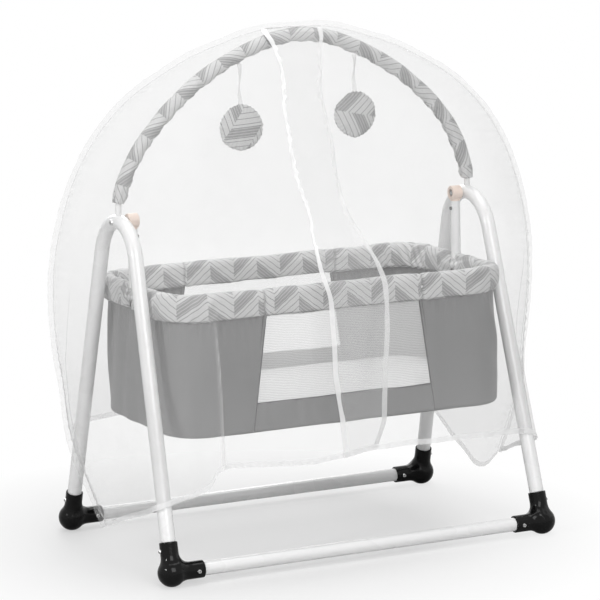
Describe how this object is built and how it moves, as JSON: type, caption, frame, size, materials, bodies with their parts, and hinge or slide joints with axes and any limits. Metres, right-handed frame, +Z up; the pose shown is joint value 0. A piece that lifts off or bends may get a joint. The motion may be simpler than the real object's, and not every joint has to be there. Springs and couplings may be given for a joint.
{
  "type": "baby swing",
  "caption": "Baby swing: a padded mesh-sided cot hung between two bent-tube end frames on pivots, under an arch with hanging toys and a sheer net canopy.",
  "frame": {"origin": "floor level, midway between the four feet", "axes": "+X along the cot from its left end to its right end, +Y from the front with the net's opening to the rear, +Z up"},
  "size_m": [1.1774, 0.634, 1.1407],
  "materials": {
    "white_tube": "white powder coat on steel tube, satin gloss",
    "black_plastic": "glossy black moulded plastic",
    "bright_steel": "zinc-plated steel",
    "dark_steel": "blackened steel screw",
    "white_plastic": "white nylon",
    "peach_plastic": "peach moulded plastic, satin",
    "print_cloth": "woven cotton blend with a grey chevron stripe print, padded",
    "grey_cloth": "plain grey woven polyester",
    "window_mesh": "white knitted mesh",
    "mattress_cloth": "white cotton cover over foam",
    "board": "hardboard",
    "net_cloth": "sheer white net",
    "white_ribbon": "white satin ribbon"
  },
  "bodies": {
    "stand": {"left_leg_frame": "white_tube", "right_leg_frame": "white_tube", "front_floor_bar": "white_tube", "rear_floor_bar": "white_tube", "arch_tube": "white_tube", "front_left_foot": "black_plastic", "front_right_foot": "black_plastic", "rear_left_foot": "black_plastic", "rear_right_foot": "black_plastic", "foot_screws": "bright_steel", "left_pivot_bolt": "bright_steel", "left_lock_nut": "dark_steel", "left_pivot_spacer": "white_plastic", "right_pivot_bolt": "bright_steel", "right_lock_nut": "dark_steel", "right_pivot_spacer": "white_plastic", "arch_sleeve": "print_cloth", "net_rear_panel": "net_cloth", "net_left_flap": "net_cloth", "net_right_flap": "net_cloth", "net_left_ribbon": "white_ribbon", "net_right_ribbon": "white_ribbon"},
    "cot": {"left_hub": "peach_plastic", "right_hub": "peach_plastic", "left_pivot_bush": "white_plastic", "right_pivot_bush": "white_plastic", "left_hanger": "white_tube", "right_hanger": "white_tube", "hanger_screws": "dark_steel", "front_rim_rail": "white_tube", "rear_rim_rail": "white_tube", "front_rim_cuff": "print_cloth", "rear_rim_cuff": "print_cloth", "left_end_panel": "grey_cloth", "right_end_panel": "grey_cloth", "front_mesh_window": "window_mesh", "rear_mesh_window": "window_mesh", "front_lower_band": "grey_cloth", "rear_lower_band": "grey_cloth", "floor_cloth": "grey_cloth", "base_board": "board", "mattress": "mattress_cloth"},
    "left_toy": {"left_toy_ribbon": "white_ribbon", "left_toy_disc": "print_cloth"},
    "right_toy": {"right_toy_ribbon": "white_ribbon", "right_toy_disc": "print_cloth"}
  },
  "joints": [
    {"name": "cot_swing", "type": "hinge", "parent": "stand", "child": "cot", "pos_m": [0, 0, 0.74], "axis": [1, 0, 0], "range_deg": [-10, 10]},
    {"name": "left_toy_swing", "type": "hinge", "parent": "stand", "child": "left_toy", "pos_m": [-0.13408, 0, 1.06486], "axis": [1, 0, 0], "range_deg": [-25, 25]},
    {"name": "right_toy_swing", "type": "hinge", "parent": "stand", "child": "right_toy", "pos_m": [0.14577, 0, 1.06867], "axis": [1, 0, 0], "range_deg": [-25, 25]}
  ]
}
